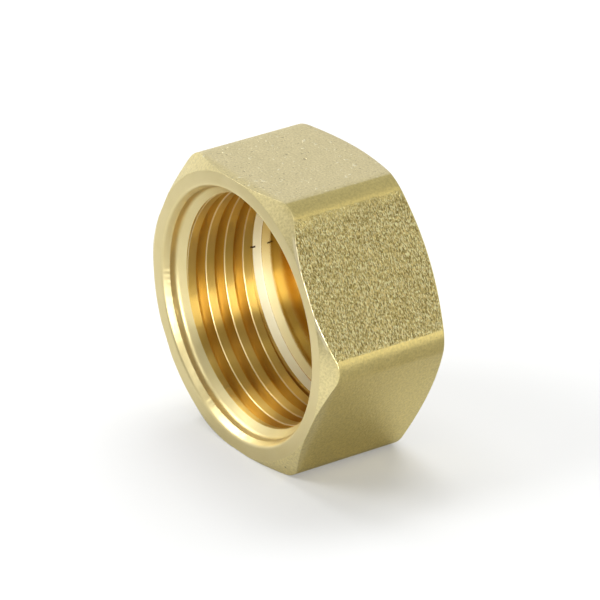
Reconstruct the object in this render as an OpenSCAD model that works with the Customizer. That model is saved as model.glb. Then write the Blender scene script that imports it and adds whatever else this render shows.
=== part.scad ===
// Female hexagon blanking cap in one piece of brass, for closing a half inch male pipe thread.
// It lies on one flat, as in the photograph: the thread axis runs along +Y and the mouth faces -Y.
// The origin is on the ground, under the middle of the cap. Sizes are in millimetres.

/* [Hexagon] */

// Width over two opposite flats, for a 24 mm spanner
across_flats = 24; // [23.5:0.5:26]

// Length of the cap, from the face at the mouth to the closed end
cap_length = 12; // [11:0.5:16]

// Radius that the six long corners are rounded to
corner_radius = 2.3; // [1:0.1:3]

/* [Turned ends] */

// How much wider the flat ring at the mouth is than the flats, which leaves each flat a short straight edge
mouth_face_extra = 0.1; // [0.05:0.05:0.5]

// Slope of the chamfer behind that ring, from the plane of the face
mouth_chamfer_angle = 31; // [15:1:45]

// How much narrower the flat circle at the closed end is than the flats
closed_face_less = 1.3; // [0.2:0.1:4]

// Slope of the chamfer at the closed end, from the plane of the face
closed_chamfer_angle = 25; // [15:1:40]

/* [Mouth] */

// Diameter where the steep lead-in meets the face
lead_in_d = 21.7; // [21.4:0.1:22.2]

// Depth of the steep lead-in
lead_in_depth = 0.6; // [0.3:0.1:0.8]

// Gap on each side between the male thread and the short counterbore
counterbore_gap = 0.05; // [0.02:0.01:0.1]

// Depth of the counterbore from the face
counterbore_depth = 1.2; // [1:0.1:1.4]

// Slope of the shoulder between the counterbore and the thread, from the plane of the face
shoulder_angle = 39; // [30:1:45]

/* [Thread] */

// Diameter over the roots of the thread
major_d = 20.955; // [20.9:0.005:21]

// Distance from one turn to the next, 14 turns in an inch
pitch = 1.814; // [1.8:0.002:1.83]

// Angle between the two flanks of the groove
flank_angle = 55; // [50:1:60]

// Diameter of the hole before it is threaded, which the flat crests keep
drill_d = 19.6; // [19.5:0.05:19.7]

// Depth that the end of the tap reached
thread_depth = 8; // [7.4:0.1:8.2]

// Depth and half width of the fine ring that the end of the tap left
tap_mark = 0.12; // [0.05:0.01:0.15]

/* [Floor] */

// Depth of the flat floor from the face
floor_depth = 9.1; // [8.9:0.1:9.6]

// Radius in the corner between the wall and the floor
floor_corner_radius = 0.2; // [0.1:0.05:0.3]

/* [Hidden] */

$fn = 120;
over = 1;
turn_steps = 48;

flat_r = across_flats / 2;
corner_centre = (flat_r - corner_radius) / cos(30);
envelope_r = flat_r / cos(30) + over;
mouth_face_r = flat_r + mouth_face_extra / 2;
closed_face_r = flat_r - closed_face_less / 2;
counterbore_r = major_d / 2 + counterbore_gap;
drill_r = drill_d / 2;
shoulder_end = counterbore_depth + (counterbore_r - drill_r) * tan(shoulder_angle);

// The middle of the groove at the left of the mouth, and where the cutter starts and ends its turns
groove_at_left = shoulder_end - 0.45;
first_angle = -200;
last_angle = ceil((thread_depth + pitch - groove_at_left) / pitch * turn_steps) / turn_steps * 360;
steps = round((last_angle - first_angle) / 360 * turn_steps);

// The basic form is 0.640327 of the pitch deep, and its pitch line is half of that under the roots
pitch_line_r = major_d / 2 - 0.640327 * pitch / 2;
cutter_r = drill_r - 0.5;
root_step = 0.16;

// Half the width of the groove at a radius
function half_width(r) = pitch / 4 + (pitch_line_r - r) * tan(flank_angle / 2);

// One section of the cutter: radius and offset along the axis, with a blunt root
section = [
    [cutter_r, -half_width(cutter_r)],
    [major_d / 2 - root_step, -half_width(major_d / 2 - root_step)],
    [major_d / 2, -half_width(major_d / 2) * 0.5],
    [major_d / 2, half_width(major_d / 2) * 0.5],
    [major_d / 2 - root_step, half_width(major_d / 2 - root_step)],
    [cutter_r, half_width(cutter_r)]
];
sides = len(section);

// A point of the cutter: right-hand, so it goes deeper as it turns clockwise seen from the mouth
function cutter_point(i, j) =
    let (angle = first_angle + i * 360 / turn_steps, r = section[j][0])
    [r * cos(180 - angle), groove_at_left + pitch * angle / 360 + section[j][1],
     r * sin(180 - angle)];

// The groove that one helical pass of the tap leaves, cut off where its end stood
module thread_cutter() {
    points = [for (i = [0:steps]) for (j = [0:sides - 1]) cutter_point(i, j)];
    walls = [
        for (i = [0:steps - 1]) for (j = [0:sides - 1])
            let (k = (j + 1) % sides, a = i * sides + j, b = i * sides + k)
            each [[a, b, a + sides], [b, b + sides, a + sides]]
    ];
    ends = [
        [for (j = [sides - 1:-1:0]) j],
        [for (j = [0:sides - 1]) steps * sides + j]
    ];
    intersection() {
        polyhedron(points, concat(walls, ends));
        rotate([-90, 0, 0])
            translate([0, 0, -over])
            cylinder(h = thread_depth + over, r = flat_r);
    }
}

// The hexagon of the bar, with its six corners rounded
module hexagon() {
    difference() {
        circle(r = flat_r / cos(30), $fn = 6);
        for (a = [0:60:300])
            rotate(a)
                difference() {
                    translate([corner_centre + corner_radius * cos(30), -corner_radius])
                        square(2 * corner_radius);
                    translate([corner_centre, 0])
                        circle(r = corner_radius);
                }
    }
}

// What the two chamfers leave of a turned blank
module turned_blank() {
    rotate([-90, 0, 0])
        rotate_extrude()
        polygon([
            [0, 0],
            [mouth_face_r, 0],
            [envelope_r, (envelope_r - mouth_face_r) * tan(mouth_chamfer_angle)],
            [envelope_r, cap_length - (envelope_r - closed_face_r) * tan(closed_chamfer_angle)],
            [closed_face_r, cap_length],
            [0, cap_length]
        ]);
}

// The turned hole: lead-in, counterbore, shoulder, drilled wall with the mark of the tap, floor
module turned_hole() {
    rotate([-90, 0, 0])
        rotate_extrude()
        difference() {
            polygon([
                [0, -over],
                [lead_in_d / 2, -over],
                [lead_in_d / 2, 0],
                [counterbore_r, lead_in_depth],
                [counterbore_r, counterbore_depth],
                [drill_r, shoulder_end],
                [drill_r, thread_depth],
                [drill_r + tap_mark, thread_depth + tap_mark],
                [drill_r, thread_depth + 2 * tap_mark],
                [drill_r, floor_depth],
                [0, floor_depth]
            ]);
            translate([drill_r - floor_corner_radius, floor_depth - floor_corner_radius])
                difference() {
                    square(2 * floor_corner_radius);
                    circle(r = floor_corner_radius);
                }
        }
}

// The cap as it was turned, before the thread
module turned_cap() {
    difference() {
        intersection() {
            rotate([-90, 0, 0])
                linear_extrude(cap_length)
                hexagon();
            turned_blank();
        }
        turned_hole();
    }
}

// The whole cap, machined from one piece
module hex_cap() {
    color([0.80, 0.70, 0.45])
        translate([0, -cap_length / 2, flat_r])
        difference() {
            turned_cap();
            thread_cutter();
        }
}

hex_cap();
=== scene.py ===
import math

import bmesh
import bpy
from mathutils import Matrix, Vector, noise


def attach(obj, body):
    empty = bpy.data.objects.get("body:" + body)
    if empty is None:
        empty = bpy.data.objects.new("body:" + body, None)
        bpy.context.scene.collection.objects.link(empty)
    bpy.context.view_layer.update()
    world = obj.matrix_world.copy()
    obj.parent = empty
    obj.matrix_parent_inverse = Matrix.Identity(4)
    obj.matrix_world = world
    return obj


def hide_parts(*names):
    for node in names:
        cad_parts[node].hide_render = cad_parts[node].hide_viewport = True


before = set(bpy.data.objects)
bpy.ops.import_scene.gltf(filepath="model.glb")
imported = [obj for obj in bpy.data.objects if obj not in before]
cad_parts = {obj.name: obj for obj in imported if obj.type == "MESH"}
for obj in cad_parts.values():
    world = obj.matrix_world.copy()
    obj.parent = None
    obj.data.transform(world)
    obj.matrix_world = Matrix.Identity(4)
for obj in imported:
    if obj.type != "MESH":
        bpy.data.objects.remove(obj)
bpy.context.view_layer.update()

MM = 0.001
COS_30 = math.cos(math.radians(30))

# The sizes of the part's source, in millimetres
ACROSS_FLATS = 24.0
CAP_LENGTH = 12.0
CORNER_RADIUS = 2.3
MOUTH_FACE_EXTRA = 0.1
MOUTH_CHAMFER = math.radians(31)
CLOSED_FACE_LESS = 1.3
CLOSED_CHAMFER = math.radians(25)
LEAD_IN_D = 21.7
LEAD_IN_DEPTH = 0.6
COUNTERBORE_GAP = 0.05
COUNTERBORE_DEPTH = 1.2
SHOULDER_ANGLE = math.radians(39)
MAJOR_D = 20.955
PITCH = 1.814
FLANK_ANGLE = math.radians(55)
DRILL_D = 19.6
THREAD_DEPTH = 8.0
TAP_MARK = 0.12
FLOOR_DEPTH = 9.1
FLOOR_CORNER = 0.2

FLAT_R = ACROSS_FLATS / 2
CORNER_CENTRE = (FLAT_R - CORNER_RADIUS) / COS_30
MOUTH_FACE_R = FLAT_R + MOUTH_FACE_EXTRA / 2
CLOSED_FACE_R = FLAT_R - CLOSED_FACE_LESS / 2
COUNTERBORE_R = MAJOR_D / 2 + COUNTERBORE_GAP
DRILL_R = DRILL_D / 2
SHOULDER_END = COUNTERBORE_DEPTH + (COUNTERBORE_R - DRILL_R) * math.tan(SHOULDER_ANGLE)
TAP_MARK_END = THREAD_DEPTH + 2 * TAP_MARK
# The middle of the groove at the left of the mouth
GROOVE_AT_LEFT = SHOULDER_END - 0.45

# Angles about the thread axis are in degrees from the right-hand corner, as seen from the mouth. The coarse flat
# runs from 0 to 60 and the top flat from 60 to 120. Those two keep a crisp edge at the mouth.
COARSE_END = 60
CRISP_END = 120

# What is broken off the edge between the flats and the mouth's chamfer, and the rounding that is left there
CRISP_BREAK, CRISP_ROUNDING = 0.01, 0.012
SOFT_BREAK, SOFT_ROUNDING = 0.035, 0.05
COARSE_BREAK, COARSE_BREAK_VARIES = 0.028, 0.05
CLOSED_RIM_ROUNDING, CLOSED_EDGE_ROUNDING = 0.25, 0.16

# Heights of the burrs, and how far from the edges they reach
LEAD_IN_BURR, LEAD_IN_FINE_BURR, SHOULDER_BURR = 0.028, 0.02, 0.012
BURR_REACH = 0.05

# The turned hole: radius, depth and rounding of each corner
HOLE = (
    (LEAD_IN_D / 2 + 0.45, 0.0, 0),
    (LEAD_IN_D / 2, 0.0, 0.20),
    (COUNTERBORE_R, LEAD_IN_DEPTH, 0.03),
    (COUNTERBORE_R, COUNTERBORE_DEPTH, 0.38),
    (DRILL_R, SHOULDER_END, 0.035),
    (DRILL_R, THREAD_DEPTH, 0.02),
    (DRILL_R + TAP_MARK, THREAD_DEPTH + TAP_MARK, 0.02),
    (DRILL_R, TAP_MARK_END, 0.02),
    (DRILL_R, FLOOR_DEPTH, FLOOR_CORNER),
    (DRILL_R - 1.0, FLOOR_DEPTH, 0),
)

# The mesh of the turned cap: faces in each rounding, the longest face along the hole, the rows of the closed
# chamfer, the flat and the mouth's chamfer by their place in the outer profile, and the rings of the two ends
ROUNDING_STEPS = 4
LONGEST_FACE = 0.8
OUTER_ROWS = {1: 3, 2: 10, 4: 3}
CLOSED_END_RINGS = (9.0, 6.5, 4.0, 1.5)
FLOOR_RINGS = (7.0, 5.0, 3.0, 1.2)


def hexagon_radius(angle):
    """Distance from the axis to the rounded hexagon, at an angle from a corner in radians."""
    from_corner = math.degrees(angle) % 60
    a = math.radians(min(from_corner, 60 - from_corner))
    flat = FLAT_R / math.cos(math.radians(30) - a)
    across = CORNER_CENTRE * math.sin(a)
    arc = CORNER_CENTRE * math.cos(a) + math.sqrt(max(CORNER_RADIUS ** 2 - across ** 2, 0))
    arc_ends = math.atan2(CORNER_RADIUS / 2, CORNER_CENTRE + CORNER_RADIUS * COS_30)
    return arc if a < arc_ends else flat


def rounded(profile):
    """The points (radius, depth) of a profile, with each inner corner replaced by a short arc of its rounding."""
    points = [Vector((r, y)) for r, y, _ in profile]
    out = [tuple(profile[0][:2])]
    for before, corner, after, (_, _, rounding) in zip(points, points[1:], points[2:], profile[1:]):
        to_before, to_after = before - corner, after - corner
        # An arc takes 0.45 of a line at most, so that some of it stays straight between two corners
        cut = min(rounding, to_before.length * 0.45, to_after.length * 0.45)
        a, b = corner + to_before.normalized() * cut, corner + to_after.normalized() * cut
        for k in range(ROUNDING_STEPS + 1):
            t = k / ROUNDING_STEPS
            out.append(tuple(a * (1 - t) ** 2 + corner * (2 * t * (1 - t)) + b * t ** 2))
    out.append(tuple(profile[-1][:2]))
    return out


def subdivide(points, longest):
    """A polyline with more points, so that no stretch is longer than longest."""
    out = [points[0]]
    for p, q in zip(points, points[1:]):
        n = max(1, math.ceil(math.dist(p, q) / longest))
        out += [(p[0] + (q[0] - p[0]) * k / n, p[1] + (q[1] - p[1]) * k / n) for k in range(1, n + 1)]
    return out


def column_angles():
    """The angles of the mesh's columns: every degree, and every half degree near the corners."""
    near_corners = {(corner + k / 2) % 360 for corner in range(0, 360, 60) for k in range(-12, 12)}
    return sorted(near_corners | {float(i) for i in range(360)})


def worn(inner, angle):
    """The turned hole's profile at one angle, with the small burrs where the lead-in and the shoulder end."""
    spot = Vector((math.cos(angle), math.sin(angle), 0))
    lead_in_burr = LEAD_IN_BURR * noise.noise(spot * 38) + LEAD_IN_FINE_BURR * noise.noise(spot * 90)
    shoulder_burr = SHOULDER_BURR * noise.noise(spot * 60 + Vector((0, 0, 7)))
    out = []
    for r, y in inner:
        burr = 0
        if abs(y - LEAD_IN_DEPTH) < BURR_REACH:
            burr = lead_in_burr
        elif abs(y - SHOULDER_END) < BURR_REACH and r < DRILL_R + BURR_REACH:
            burr = shoulder_burr
        out.append((r + burr, y + burr * 0.6))
    return out


def outer_profile(deg):
    """Points (radius, depth) at one angle, from the closed end's flat circle to the face at the mouth."""
    hexagon = hexagon_radius(math.radians(deg))
    closed_edge_y = CAP_LENGTH - (hexagon - CLOSED_FACE_R) * math.tan(CLOSED_CHAMFER)
    # A broken edge at the mouth, the widest and the most ragged along the coarse flat
    broken, rounding, steep = SOFT_BREAK, SOFT_ROUNDING, 0.8
    if deg < CRISP_END:
        broken, rounding = CRISP_BREAK, CRISP_ROUNDING
    if deg < COARSE_END:
        steep = 1.6
        fades_at_ends = min(1, min(deg, COARSE_END - deg) / 5)
        ragged = noise.noise(Vector((deg * 1.3, 0, 3)))
        broken += fades_at_ends * max(0.0, COARSE_BREAK + COARSE_BREAK_VARIES * ragged)
    edge_r = hexagon - broken
    edge_y = max((edge_r - MOUTH_FACE_R) * math.tan(MOUTH_CHAMFER), 0)
    face_r = min(MOUTH_FACE_R, edge_r - 0.01)
    line = rounded((
        (CLOSED_FACE_R - 0.5, CAP_LENGTH, 0),
        (CLOSED_FACE_R, CAP_LENGTH, CLOSED_RIM_ROUNDING),
        (hexagon, closed_edge_y, CLOSED_EDGE_ROUNDING),
        (hexagon, edge_y + broken * steep, rounding),
        (edge_r, edge_y, rounding),
        (face_r, 0.0, rounding),
        (face_r - 0.55, 0.0, 0),
    ))
    rows = []
    for i, (p, q) in enumerate(zip(line, line[1:])):
        stretch, in_arc = divmod(i, ROUNDING_STEPS + 1)
        n = 1 if in_arc else OUTER_ROWS.get(stretch, 1)
        rows += [(p[0] + (q[0] - p[0]) * k / n, p[1] + (q[1] - p[1]) * k / n) for k in range(n)]
    return rows + [line[-1]]


def add_vertex(bm, r, y, angle):
    """A vertex at a radius, a depth from the mouth and an angle about the thread axis."""
    return bm.verts.new((r * math.cos(angle) * MM, (y - CAP_LENGTH / 2) * MM, (FLAT_R + r * math.sin(angle)) * MM))


def close_end(bm, ring, angles, radii, depth, order):
    """Flat faces from a ring of vertices to the axis. order is 1 or -1, the way round that they face."""
    for r in radii:
        smaller = [add_vertex(bm, r, depth, math.radians(deg)) for deg in angles]
        for i in range(len(ring)):
            k = (i + 1) % len(ring)
            bm.faces.new((ring[i], ring[k], smaller[k], smaller[i])[::order])
        ring = smaller
    bm.faces.new(ring[::order])


def add_object(name, bm):
    """A new object of the scene from a finished bmesh."""
    mesh = bpy.data.meshes.new(name)
    bm.to_mesh(mesh)
    bm.free()
    obj = bpy.data.objects.new(name, mesh)
    bpy.context.scene.collection.objects.link(obj)
    return obj


def build_blank():
    """The turned cap without its thread, as one closed grid of columns and rows."""
    angles = column_angles()
    inner = subdivide(rounded(HOLE), LONGEST_FACE)
    bm = bmesh.new()
    grid = []
    for deg in angles:
        a = math.radians(deg)
        grid.append([add_vertex(bm, r, y, a) for r, y in outer_profile(deg) + worn(inner, a)])
    for column, beside in zip(grid, grid[1:] + grid[:1]):
        for j in range(len(column) - 1):
            bm.faces.new((column[j], column[j + 1], beside[j + 1], beside[j]))
    close_end(bm, [column[0] for column in grid], angles, CLOSED_END_RINGS, CAP_LENGTH, 1)
    close_end(bm, [column[-1] for column in grid], angles, FLOOR_RINGS, FLOOR_DEPTH, -1)
    bm.normal_update()
    bmesh.ops.recalc_face_normals(bm, faces=bm.faces)
    return add_object("hex_cap_detailed", bm)


# Material slots of the cap
OUTSIDE, MOUTH, BORED, END_WALL, FLOOR, GROOVE, LIP = range(7)

# The cutter of the thread: sections a turn, its first angle, how far it reaches inside the drilled wall, where
# its flanks bend into the blunt root, and the width of the broken edge at the crests
CUTTER_STEPS = 240
CUTTER_START = -200.0
CUTTER_INSIDE = 0.35
ROOT_BEND, ROOT_BLUNT = 0.2, 0.07
LIP_WIDTH = 0.09


def half_width(r):
    """Half the width of the groove at a radius. The basic form is 0.640327 of the pitch deep."""
    pitch_line = MAJOR_D / 2 - 0.640327 * PITCH / 2
    return PITCH / 4 + (pitch_line - r) * math.tan(FLANK_ANGLE / 2)


def build_thread_cutter():
    """The helical groove, with a broken edge at the crests, cut off where the end of the tap stood."""
    root = MAJOR_D / 2
    inside = DRILL_R - CUTTER_INSIDE
    flank = [
        (root - ROOT_BEND, half_width(root - ROOT_BEND)),
        (root - ROOT_BLUNT, half_width(root - ROOT_BLUNT) * 0.9),
        (root, half_width(root) * 0.5),
    ]
    # The near side keeps a sharp crest, and the side that faces the mouth has a broken edge
    near = [(inside, half_width(inside))] + flank
    far = [
        (inside, half_width(DRILL_R) + CUTTER_INSIDE + LIP_WIDTH * 0.7),
        (DRILL_R - 0.01, half_width(DRILL_R) + LIP_WIDTH * 0.72),
        (DRILL_R + LIP_WIDTH * 0.45, half_width(DRILL_R + LIP_WIDTH) + LIP_WIDTH * 0.22),
        (DRILL_R + LIP_WIDTH, half_width(DRILL_R + LIP_WIDTH)),
    ] + flank
    section = [(r, -w) for r, w in near] + [(r, w) for r, w in reversed(far)]
    sides = len(section)
    lip_faces = (len(near) + len(flank), len(near) + len(flank) + 1)
    last = (THREAD_DEPTH + PITCH * 1.2 - GROOVE_AT_LEFT) / PITCH * 360
    bm = bmesh.new()
    rings = []
    for i in range(round((last - CUTTER_START) / 360 * CUTTER_STEPS) + 1):
        deg = CUTTER_START + i * 360 / CUTTER_STEPS
        a = math.radians(180 - deg)
        rings.append([add_vertex(bm, r, GROOVE_AT_LEFT + PITCH * deg / 360 + off, a) for r, off in section])
    for p, q in zip(rings, rings[1:]):
        for j in range(sides):
            k = (j + 1) % sides
            face = bm.faces.new((p[j], p[k], q[k], q[j]))
            face.material_index = LIP if j in lip_faces else GROOVE
    bm.faces.new(rings[0][::-1])
    bm.faces.new(rings[-1])
    bmesh.ops.recalc_face_normals(bm, faces=bm.faces)
    # The groove starts just behind the shoulder, which the photograph shows unbroken
    for depth, way in ((THREAD_DEPTH, 1), (SHOULDER_END + 0.04, -1)):
        plane = Vector((0, (depth - CAP_LENGTH / 2) * MM, 0))
        bmesh.ops.bisect_plane(bm, geom=bm.verts[:] + bm.edges[:] + bm.faces[:], plane_co=plane,
                               plane_no=Vector((0, way, 0)), clear_outer=True)
        edges = [e for e in bm.edges if e.is_boundary]
        for face in bmesh.ops.holes_fill(bm, edges=edges, sides=0)["faces"]:
            face.material_index = GROOVE
    bmesh.ops.recalc_face_normals(bm, faces=bm.faces)
    return add_object("thread_cutter", bm)


def subtract(body, cutter):
    """Cut one object out of another, and delete the cutter."""
    mod = body.modifiers.new("cut", "BOOLEAN")
    mod.operation = "DIFFERENCE"
    mod.solver = "EXACT"
    mod.object = cutter
    depsgraph = bpy.context.evaluated_depsgraph_get()
    mesh = bpy.data.meshes.new_from_object(body.evaluated_get(depsgraph))
    body.modifiers.clear()
    old, cutter_mesh = body.data, cutter.data
    body.data = mesh
    bpy.data.meshes.remove(old)
    bpy.data.objects.remove(cutter)
    bpy.data.meshes.remove(cutter_mesh)


def region(polygon):
    """The material slot of a face of the turned cap."""
    depth = polygon.center.y / MM + CAP_LENGTH / 2
    radius = math.hypot(polygon.center.x, polygon.center.z - FLAT_R * MM) / MM
    if radius > MOUTH_FACE_R - 0.1 or depth > (FLOOR_DEPTH + CAP_LENGTH) / 2:
        return OUTSIDE
    if depth < SHOULDER_END - 0.02:
        return MOUTH
    if depth < TAP_MARK_END:
        return BORED
    return END_WALL if radius > DRILL_R - 0.05 else FLOOR


class Graph:
    """Small helpers that add nodes to one material or world."""

    def __init__(self, owner):
        owner.use_nodes = True
        self.tree = owner.node_tree
        self.tree.nodes.clear()

    def node(self, kind, **settings):
        node = self.tree.nodes.new(kind)
        for key, value in settings.items():
            setattr(node, key, value)
        return node

    def put(self, socket, value):
        """Link an output to a socket, or set the socket's own value. None leaves it as it is."""
        if isinstance(value, bpy.types.NodeSocket):
            self.tree.links.new(value, socket)
        elif value is not None:
            socket.default_value = value

    def math(self, op, a, b=None, c=None):
        node = self.node("ShaderNodeMath", operation=op)
        for socket, value in zip(node.inputs, (a, b, c)):
            self.put(socket, value)
        return node.outputs[0]

    def product(self, *values):
        out = values[0]
        for value in values[1:]:
            out = self.math("MULTIPLY", out, value)
        return out

    def weighted(self, a, b, weights):
        """The sum of a and b, each times its weight. With a direction as weights, the distance along it."""
        return self.math("ADD", self.math("MULTIPLY", a, weights[0]), self.math("MULTIPLY", b, weights[1]))

    def step(self, value, low, high):
        """0 below low, 1 above high, smooth between. high may be the smaller one."""
        node = self.node("ShaderNodeMapRange", interpolation_type="SMOOTHSTEP")
        flip = high < low
        for name, v in (("Value", value), ("From Min", min(low, high)), ("From Max", max(low, high)),
                        ("To Min", 1.0 if flip else 0.0), ("To Max", 0.0 if flip else 1.0)):
            self.put(node.inputs[name], v)
        return node.outputs[0]

    def between(self, value, a, b, soft):
        """1 from a to b, 0 outside, with soft ends."""
        return self.product(self.step(value, a - soft, a + soft), self.step(value, b + soft, b - soft))

    def scale(self, value, low, high, to_low=0.0, to_high=1.0):
        """A straight ramp from to_low at low to to_high at high."""
        node = self.node("ShaderNodeMapRange")
        for name, v in (("Value", value), ("From Min", low), ("From Max", high),
                        ("To Min", to_low), ("To Max", to_high)):
            self.put(node.inputs[name], v)
        return node.outputs[0]

    def noise(self, vector, size, detail=2.0, rough=0.5, stretch=None):
        """Noise whose features are about as wide as size, in the vector's own unit."""
        if stretch:
            mapping = self.node("ShaderNodeMapping")
            mapping.inputs["Scale"].default_value = stretch
            self.put(mapping.inputs["Vector"], vector)
            vector = mapping.outputs[0]
        node = self.node("ShaderNodeTexNoise")
        self.put(node.inputs["Vector"], vector)
        for name, v in (("Scale", 1.0 / size), ("Detail", detail), ("Roughness", rough)):
            node.inputs[name].default_value = v
        return node.outputs["Fac"]

    def mix(self, fac, a, b):
        node = self.node("ShaderNodeMix", data_type="RGBA")
        self.put(node.inputs[0], fac)
        for socket, value in ((node.inputs[6], a), (node.inputs[7], b)):
            self.put(socket, (*value, 1) if isinstance(value, tuple) else value)
        return node.outputs[2]

    def spot(self, place, centre, radius):
        """1 within half the radius of a point, 0 outside the radius."""
        node = self.node("ShaderNodeVectorMath", operation="DISTANCE")
        self.put(node.inputs[0], place)
        node.inputs[1].default_value = centre
        return self.step(node.outputs["Value"], radius, radius * 0.5)

    def combine(self, x, y, z):
        node = self.node("ShaderNodeCombineXYZ")
        for socket, value in zip(node.inputs, (x, y, z)):
            self.put(socket, value)
        return node.outputs[0]

    def split(self, vector):
        node = self.node("ShaderNodeSeparateXYZ")
        self.put(node.inputs[0], vector)
        return node.outputs

    def bump(self, height, distance, strength=1.0, normal=None):
        node = self.node("ShaderNodeBump")
        node.inputs["Strength"].default_value = strength
        node.inputs["Distance"].default_value = distance
        self.put(node.inputs["Height"], height)
        self.put(node.inputs["Normal"], normal)
        return node.outputs[0]

    def cap_place(self):
        """Object coordinates in metres, then x, the depth from the mouth, and z from the axis in millimetres."""
        coords = self.node("ShaderNodeTexCoord").outputs["Object"]
        x, y, z = self.split(coords)
        return (coords, self.math("MULTIPLY", x, 1 / MM), self.math("MULTIPLY_ADD", y, 1 / MM, CAP_LENGTH / 2),
                self.math("MULTIPLY_ADD", z, 1 / MM, -FLAT_R))


# Colours of the outside. Where there are two, a mottle runs from the first to the second.
SIDE, SIDE_CLOUD, SIDE_CORNER_PAINTED_SHADE = ((0.87, 0.735, 0.30), (0.90, 0.765, 0.335)), (0.87, 0.73, 0.31), (0.76, 0.64, 0.26)
TOP_PAINTED_LIGHT = (0.93, 0.815, 0.455), (0.96, 0.845, 0.495)
TURNED_END = (0.88, 0.76, 0.38), (0.91, 0.79, 0.41)
SATIN_SHADE = (0.30, 0.24, 0.10)
GRAIN_LOW, GRAIN_HIGH, GRAIN_GLINT = (0.36, 0.26, 0.065), (0.92, 0.77, 0.33), (1.0, 0.935, 0.53)
EDGE_HIGHLIGHT = (0.98, 0.87, 0.55)
PIT, SPECK = (0.33, 0.27, 0.13), (0.98, 0.92, 0.66)

# Directions across the axis: the coarse flat's normal, the direction along that flat, and the corner at 60 degrees
COARSE_NORMAL, COARSE_ALONG, CORNER_60 = (COS_30, 0.5), (-0.5, COS_30), (0.5, COS_30)

# Two larger pits, on the mouth's chamfer at the lower right corner and on the top flat: x, depth and z from the
# axis, and radius
LARGE_PITS = ((6.4, 0.4, -11.0), 0.13), ((-0.05, 6.95, 12.0), 0.16)

# The short dark scratch across the end of the thread: depths, and angles in radians
SCRATCH_DEPTHS, SCRATCH_ANGLES, SCRATCH = (8.0, 8.5), (3.110, 3.126), (0.08, 0.04, 0.01)

# The fine marks of turning: their width in millimetres and their depth in metres
MARK_WIDTH, MARK_DEPTH = 0.05, 0.000012


def metal(name):
    mat = bpy.data.materials.new(name)
    g = Graph(mat)
    out = g.node("ShaderNodeOutputMaterial")
    bsdf = g.node("ShaderNodeBsdfPrincipled")
    g.put(out.inputs["Surface"], bsdf.outputs[0])
    bsdf.inputs["Metallic"].default_value = 1.0
    return mat, g, bsdf


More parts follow.
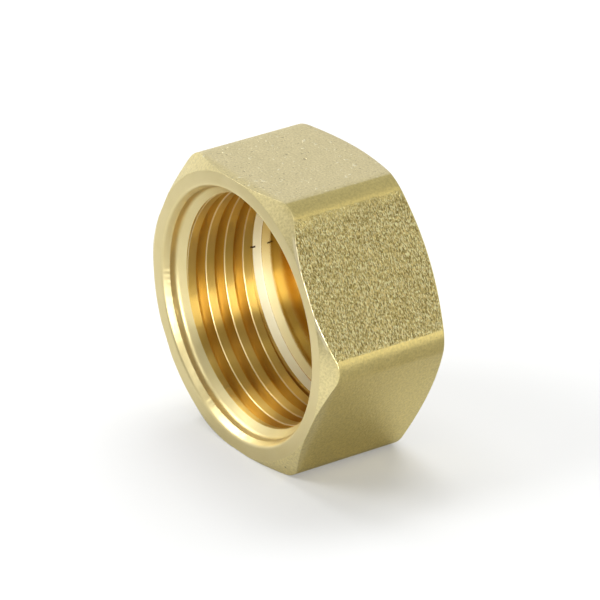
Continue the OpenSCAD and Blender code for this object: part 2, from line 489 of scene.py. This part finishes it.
def outer_brass():
    """The outside: one coarse flat, a top flat painted paler as lit from above, with sparse pits, and a fine satin
    on the rest.
    """
    mat, g, bsdf = metal("brass_outside")
    coords, x, y, z = g.cap_place()

    # The coarse flat fades out raggedly towards its two corners, and along its edge at the mouth a bright line is
    # painted, a painted highlight
    along, height = g.weighted(x, z, COARSE_ALONG), g.weighted(x, z, COARSE_NORMAL)
    ragged = g.math("MULTIPLY_ADD", g.noise(coords, 0.0010, 3.0, 0.65), 2.4, -1.2)
    ragged_along = g.math("ADD", along, ragged)
    coarse = g.product(g.step(ragged_along, -6.9, -5.3), g.step(ragged_along, 6.6, 4.6),
                       g.step(height, 11.985, 11.998))
    edge_highlight = g.product(g.step(height, 11.998, 11.985), g.step(height, 11.70, 11.80), g.step(y, 0.45, 0.30),
                          g.step(along, -6.4, -6.0), g.step(along, 6.4, 6.0))
    top = g.step(z, 11.9, 11.97)
    turned_end = g.step(y, 1.2, 0.5)

    # Grain: lumps that are shorter along the thread axis than across
    grain_a = g.noise(coords, 0.00027, 1.5, 0.6, stretch=(1.0, 2.0, 1.0))
    grain_b = g.noise(coords, 0.00016, 1.0, 0.5, stretch=(1.0, 1.8, 1.0))
    grain = g.weighted(grain_a, grain_b, (0.65, 0.35))
    # Bright flecks on the grain are painted glints.
    grain_glint = g.step(g.noise(coords, 0.00024, 1.0, 0.5, stretch=(1.0, 2.2, 1.0)), 0.53, 0.61)
    mottle = g.noise(coords, 0.0016, 3.0, 0.6)
    cloud = g.noise(coords, 0.005, 2.0, 0.5)
    fine = g.noise(coords, 0.00022, 2.0, 0.6)
    satin_grain = g.noise(coords, 0.00020, 2.0, 0.6)
    dark_specks = g.step(g.noise(coords, 0.00042, 2.0, 0.55, stretch=(1.4, 1.0, 1.0)), 0.65, 0.71)
    light_specks = g.step(g.noise(coords, 0.00036, 2.0, 0.5), 0.65, 0.71)

    mottled = g.scale(mottle, 0.3, 0.7)
    side = g.mix(mottled, *SIDE)
    side = g.mix(g.scale(cloud, 0.35, 0.65, 0.0, 0.5), side, SIDE_CLOUD)
    # Near the corner at 60 degrees the sides are painted darker: painted shade.
    side = g.mix(g.step(g.weighted(x, z, CORNER_60), 12.9, 13.3), side, SIDE_CORNER_PAINTED_SHADE)
    # The top flat's paler colours are painted light.
    colour = g.mix(top, side, g.mix(mottled, *TOP_PAINTED_LIGHT))
    colour = g.mix(turned_end, colour, g.mix(mottled, *TURNED_END))
    colour = g.mix(g.scale(satin_grain, 0.32, 0.68, 0.0, 0.30), colour, SATIN_SHADE)
    grainy = g.mix(g.scale(grain, 0.39, 0.61), GRAIN_LOW, GRAIN_HIGH)
    # On the coarse flat, the grain with its painted glints.
    colour = g.mix(coarse, colour, g.mix(grain_glint, grainy, GRAIN_GLINT))
    # A painted highlight along the coarse flat's edge at the mouth.
    colour = g.mix(edge_highlight, colour, EDGE_HIGHLIGHT)
    place = g.combine(x, y, z)
    large_pits = g.math("MAXIMUM", *(g.spot(place, centre, radius) for centre, radius in LARGE_PITS))
    pits = g.math("MAXIMUM", g.product(top, dark_specks, 0.5), g.math("MULTIPLY", large_pits, 0.8))
    specks = g.product(top, light_specks, 0.7)
    colour = g.mix(specks, g.mix(pits, colour, PIT), SPECK)
    g.put(bsdf.inputs["Base Color"], colour)

    rough = g.math("ADD", g.scale(mottle, 0.3, 0.7, 0.32, 0.40), g.math("MULTIPLY", coarse, 0.03))
    g.put(bsdf.inputs["Roughness"], rough)

    normal = g.bump(fine, 0.000030)
    normal = g.bump(mottle, 0.000006, 0.5, normal)
    normal = g.bump(g.math("MULTIPLY", coarse, g.math("SUBTRACT", grain, 0.5)), 0.00070, 1.0, normal)
    normal = g.bump(g.math("SUBTRACT", g.math("MULTIPLY", specks, 0.6), pits), 0.00004, 1.0, normal)
    g.put(bsdf.inputs["Normal"], normal)
    return mat


def turned(name, dark, light, rough, anisotropy, outward=0.0, inward=1.0, marks=0.6, chatter=0.0, painted_shade_top=None):
    """A machined surface of the hole, whose fine marks run around the axis and whose sheen spreads across them.

    outward and inward give the direction across the marks, away from the axis and into the hole. chatter is the
    depth in metres of marks that run into the hole, and the last argument a darker colour towards the top, which is
    painted shade.
    """
    mat, g, bsdf = metal(name)
    coords, x, y, z = g.cap_place()
    r = g.math("SQRT", g.weighted(x, z, (x, z)))
    angle = g.math("ARCTAN2", z, x)
    bsdf.inputs["Anisotropic"].default_value = anisotropy
    if outward:
        share = g.math("DIVIDE", outward, g.math("MAXIMUM", r, 0.01))
        across = g.combine(g.math("MULTIPLY", x, share), inward, g.math("MULTIPLY", z, share))
    else:
        across = g.combine(0.0, inward, 0.0)
    g.put(bsdf.inputs["Tangent"], across)

    # The surface unrolled: fine across the marks, long along them
    unrolled = g.combine(g.math("MULTIPLY", angle, 0.35), y, r)
    turning = g.noise(unrolled, MARK_WIDTH, 3.0, 0.6)
    patches = g.noise(coords, 0.0022, 3.0, 0.55)
    brass = g.mix(g.scale(patches, 0.3, 0.7), dark, light)
    # Towards the top the colour turns darker: painted shade.
    if painted_shade_top:
        brass = g.mix(g.step(z, -6.0, 5.0), brass, painted_shade_top)
    scratch = g.product(g.between(y, *SCRATCH_DEPTHS, 0.03), g.between(angle, *SCRATCH_ANGLES, 0.004))
    g.put(bsdf.inputs["Base Color"], g.mix(scratch, brass, SCRATCH))
    g.put(bsdf.inputs["Roughness"], g.scale(turning, 0.3, 0.7, *rough))
    normal = g.bump(turning, MARK_DEPTH, marks)
    if chatter:
        into_hole = g.combine(g.math("MULTIPLY", angle, DRILL_R), g.math("MULTIPLY", y, 0.08), 0.0)
        normal = g.bump(g.noise(into_hole, 0.13, 2.0, 0.6), chatter, 1.0, normal)
    g.put(bsdf.inputs["Normal"], normal)
    return mat


cap = build_blank()
cutter = build_thread_cutter()
# The hole is one brass. Its colours here differ for light: the groove and the lands are painted darker and more
# orange, as shade in the thread, and the end wall and the floor paler, as painted light.
FINISHES_AND_PAINTED_LIGHT = (
    outer_brass(),
    turned("brass_mouth", dark=(0.735, 0.625, 0.315), light=(0.77, 0.66, 0.355), rough=(0.36, 0.46),
           anisotropy=0.3, outward=1.0, inward=-1.0, marks=0.5),
    turned("brass_bored", dark=(0.66, 0.45, 0.11), light=(0.71, 0.49, 0.14), rough=(0.44, 0.50), anisotropy=1.0),
    turned("brass_end_wall", dark=(0.97, 0.93, 0.75), light=(0.99, 0.96, 0.81), rough=(0.66, 0.74),
           anisotropy=0.60, chatter=0.000012),
    turned("brass_floor", dark=(0.96, 0.88, 0.64), light=(0.98, 0.91, 0.69), rough=(0.05, 0.08),
           anisotropy=0.3, outward=1.0, inward=0.0, marks=0.2, painted_shade_top=(0.70, 0.53, 0.20)),
    turned("brass_groove", dark=(0.64, 0.345, 0.04), light=(0.70, 0.39, 0.06), rough=(0.44, 0.50), anisotropy=1.0),
    turned("brass_lip", dark=(0.74, 0.59, 0.28), light=(0.79, 0.64, 0.33), rough=(0.30, 0.38), anisotropy=0.2),
)
for part in (cap, cutter):
    for finish in FINISHES_AND_PAINTED_LIGHT:
        part.data.materials.append(finish)
for polygon in cap.data.polygons:
    polygon.material_index = region(polygon)
subtract(cap, cutter)
cap.data.name = "hex_cap_detailed"
for polygon in cap.data.polygons:
    polygon.use_smooth = True
cap.data.set_sharp_from_angle(angle=math.radians(28))

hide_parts("hex_cap")
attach(cap, "root")

# Floor: its lit paper and this much of its own glow look white to the camera where no shadow falls
FLOOR_SIZE, PAPER, FLOOR_GLOW = 3.0, (0.42, 0.425, 0.43, 1), 0.28
# In reflections the glow is the strongest in front of the mouth, and weak beside and behind the cap: painted shade
# of the cap in the reflections
GLOW_FROM_Y, GLOW_TO_Y, GLOW_IN_FRONT, GLOW_BEHIND = -0.019, -0.007, 0.24, 0.04

bpy.ops.mesh.primitive_plane_add(size=FLOOR_SIZE, location=(0, 0, -0.05 * MM))
floor = bpy.context.object
floor.name = "studio_floor"
floor_mat = bpy.data.materials.new("studio_floor")
g = Graph(floor_mat)
out = g.node("ShaderNodeOutputMaterial")
paper = g.node("ShaderNodeBsdfDiffuse")
paper.inputs["Color"].default_value = PAPER
glow = g.node("ShaderNodeEmission")
glow.inputs["Color"].default_value = (1, 1, 1, 1)
path = g.node("ShaderNodeLightPath")
mirrored = g.math("MAXIMUM", path.outputs["Is Glossy Ray"], path.outputs["Is Transmission Ray"])
floor_y = g.split(g.node("ShaderNodeTexCoord").outputs["Object"])[1]
mirrored_glow = g.scale(floor_y, GLOW_FROM_Y, GLOW_TO_Y, GLOW_IN_FRONT, GLOW_BEHIND)
g.put(glow.inputs["Strength"], g.weighted(path.outputs["Is Camera Ray"], mirrored, (FLOOR_GLOW, mirrored_glow)))
both = g.node("ShaderNodeAddShader")
g.put(both.inputs[0], paper.outputs[0])
g.put(both.inputs[1], glow.outputs[0])
g.put(out.inputs["Surface"], both.outputs[0])
floor.data.materials.append(floor_mat)

# World: a pale tent. It is the brightest low on the right, behind the cap, and it is open, and so dark, on the
# camera's side.
TENT, TENT_LEFT, TENT_FAR_LEFT = (0.60, 0.60, 0.58), (0.71, 0.71, 0.72), (1.05, 1.05, 1.06)
TENT_TOP, TENT_LOW_RIGHT, TENT_FRONT_LEFT = (0.57, 0.57, 0.55), (1.32, 1.24, 1.05), (0.86, 0.85, 0.82)
OPEN_SIDE = (0.06, 0.055, 0.05)
TO_CAMERA = (0.77, -0.64)

world = bpy.data.worlds.new("studio")
bpy.context.scene.world = world
g = Graph(world)
out = g.node("ShaderNodeOutputWorld")
sky = g.node("ShaderNodeBackground")
g.put(out.inputs["Surface"], sky.outputs[0])
east, north, up = g.split(g.node("ShaderNodeTexCoord").outputs["Generated"])
tent = g.mix(g.step(east, 0.0, -0.7), TENT, TENT_LEFT)
tent = g.mix(g.step(east, -0.85, -1.0), tent, TENT_FAR_LEFT)
tent = g.mix(g.step(up, 0.45, 0.85), tent, TENT_TOP)
tent = g.mix(g.product(g.step(east, 0.35, 0.70), g.step(up, 0.74, 0.58)), tent, TENT_LOW_RIGHT)
tent = g.mix(g.product(g.step(north, -0.55, -0.90), g.step(east, 0.25, -0.10)), tent, TENT_FRONT_LEFT)
# The opening starts a little over the floor, so that a low view past the cap still has a pale background
towards_camera = g.weighted(east, north, TO_CAMERA)
opening = g.product(g.step(towards_camera, 0.40, 0.60), g.step(up, 0.65, 0.35), g.step(up, 0.05, 0.09))
g.put(sky.inputs["Color"], g.mix(opening, tent, OPEN_SIDE))

MIDDLE = Vector((0, 0, FLAT_R * MM))


def in_direction(az, el, distance=1.0):
    """A vector of that length, at an azimuth from the front towards the right and an elevation, in radians."""
    return Vector((math.sin(az) * math.cos(el), -math.cos(az) * math.cos(el), math.sin(el))) * distance


def collection_of(name, *objects):
    """A collection that a lamp can be told to light or to be blocked by."""
    collection = bpy.data.collections.new(name)
    for obj in objects:
        collection.objects.link(obj)
    return collection


# Three lamps light the cap alone: the key from the left, a sharp-edged panel low beside the camera, and a weak one
# over it. Three light the floor alone, for soft shadows below the cap in the picture, to its left and to its right.
# Each has its azimuth, elevation, distance in metres, width, height and power.
PANEL_AZ = 51
cap_only = collection_of("cap_only", cap)
floor_only = collection_of("floor_only", floor)
lamps = {}
for name, lit, az, el, distance, width, height, power in (
    ("key", cap_only, -66, 50, 0.7, 0.40, 0.40, 2.6),
    ("front_panel", cap_only, PANEL_AZ, 8, 0.5, 0.105, 0.26, 1.45),
    ("upper_panel", cap_only, 45, 56, 0.55, 0.24, 0.16, 0.25),
    ("floor_left", floor_only, -95, 60, 1.5, 0.90, 0.90, 13.0),
    ("floor_back", floor_only, -150, 60, 1.5, 0.90, 0.90, 14.0),
    ("floor_front", floor_only, -32, 40, 1.5, 0.70, 0.70, 14.0),
):
    data = bpy.data.lights.new(name, "AREA")
    data.shape = "RECTANGLE"
    data.size, data.size_y = width, height
    data.energy = power
    lamp = bpy.data.objects.new(name, data)
    bpy.context.scene.collection.objects.link(lamp)
    place = in_direction(math.radians(az), math.radians(el), distance) + MIDDLE
    aim = (MIDDLE - place).to_track_quat("-Z", "Y").to_matrix().to_4x4()
    lamp.matrix_world = Matrix.Translation(place) @ aim
    lamp.light_linking.receiver_collection = lit
    lamp.light_linking.blocker_collection = cap_only
    lamps[name] = lamp

# A card close in front of the top flat, above its plane, keeps the front panel's light off that flat, where a low
# view from behind would see nothing but glare. Only shadow rays meet it.
CARD_WIDTH, CARD_HEIGHT, CARD_DISTANCE = 24 * MM, 10.5 * MM, 14 * MM
bpy.ops.mesh.primitive_plane_add(size=1.0, rotation=(math.radians(90), 0, math.radians(PANEL_AZ)))
card = bpy.context.object
card.name = "studio_card"
card.scale = (CARD_WIDTH, CARD_HEIGHT, 1.0)
card_middle = Vector((0, 0, ACROSS_FLATS * MM + CARD_HEIGHT / 2))
card.location = in_direction(math.radians(PANEL_AZ), 0, CARD_DISTANCE) + card_middle
for ray in ("camera", "diffuse", "glossy", "transmission", "volume_scatter"):
    setattr(card, "visible_" + ray, False)
lamps["front_panel"].light_linking.blocker_collection = collection_of("cap_and_card", cap, card)

# Two cloths on the floor that only reflections show: a dark one in front of the mouth, which the thread mirrors,
# and a grey one to the right, a painted shadow that darkens the reflections where the cap's own shadow lies
for name, place, size, shade in (
    ("studio_flag_front", (0.10, -0.248, 0.0006), (0.50, 0.40, 1.0), (0.05, 0.045, 0.04, 1)),
    ("studio_sheet_painted_shadow", (0.058, 0.038, 0.0003), (0.09, 0.08, 1.0), (0.70, 0.69, 0.66, 1)),
):
    bpy.ops.mesh.primitive_plane_add(size=1.0, location=place)
    cloth = bpy.context.object
    cloth.name = name
    cloth.scale = size
    cloth_mat = bpy.data.materials.new(name)
    g = Graph(cloth_mat)
    out = g.node("ShaderNodeOutputMaterial")
    woven = g.node("ShaderNodeBsdfDiffuse")
    woven.inputs["Color"].default_value = shade
    g.put(out.inputs["Surface"], woven.outputs[0])
    cloth.data.materials.append(cloth_mat)
    cloth.visible_camera = False
    cloth.visible_shadow = False
    cloth.visible_diffuse = False

# Camera: the fit of the outline gave its direction, roll, distance and focal length, and how far the middle of the
# mouth's face lies to the right of and below the middle of the picture, in pixels of the 600 x 600 photograph
AZ, EL, ROLL = math.radians(56.9), math.radians(25.5), math.radians(-0.96)
DISTANCE_MM, FOCAL_PX, PICTURE_PX, SENSOR = 427.0, 5330.0, 600, 36
OFF_X, OFF_Y = -65.04, 16.6
back = in_direction(AZ, EL)
right = Vector((0, 0, 1)).cross(back).normalized()
up = back.cross(right)
rolled_right = right * math.cos(ROLL) + up * math.sin(ROLL)
rolled_up = up * math.cos(ROLL) - right * math.sin(ROLL)
eye = Vector((0, -CAP_LENGTH / 2, FLAT_R)) + back * DISTANCE_MM
look = (-back + rolled_right * (-OFF_X / FOCAL_PX) + rolled_up * (OFF_Y / FOCAL_PX)).normalized()
side = look.cross(rolled_up).normalized()
top = side.cross(look)
lens = bpy.data.cameras.new("camera")
lens.sensor_width = SENSOR
lens.lens = SENSOR * FOCAL_PX / PICTURE_PX
lens.clip_start = 0.01
lens.clip_end = 20
camera = bpy.data.objects.new("camera", lens)
bpy.context.scene.collection.objects.link(camera)
camera.matrix_world = Matrix.Translation(eye * MM) @ Matrix((side, top, -look)).transposed().to_4x4()
bpy.context.scene.camera = camera

bpy.context.scene.view_settings.view_transform = "Standard"
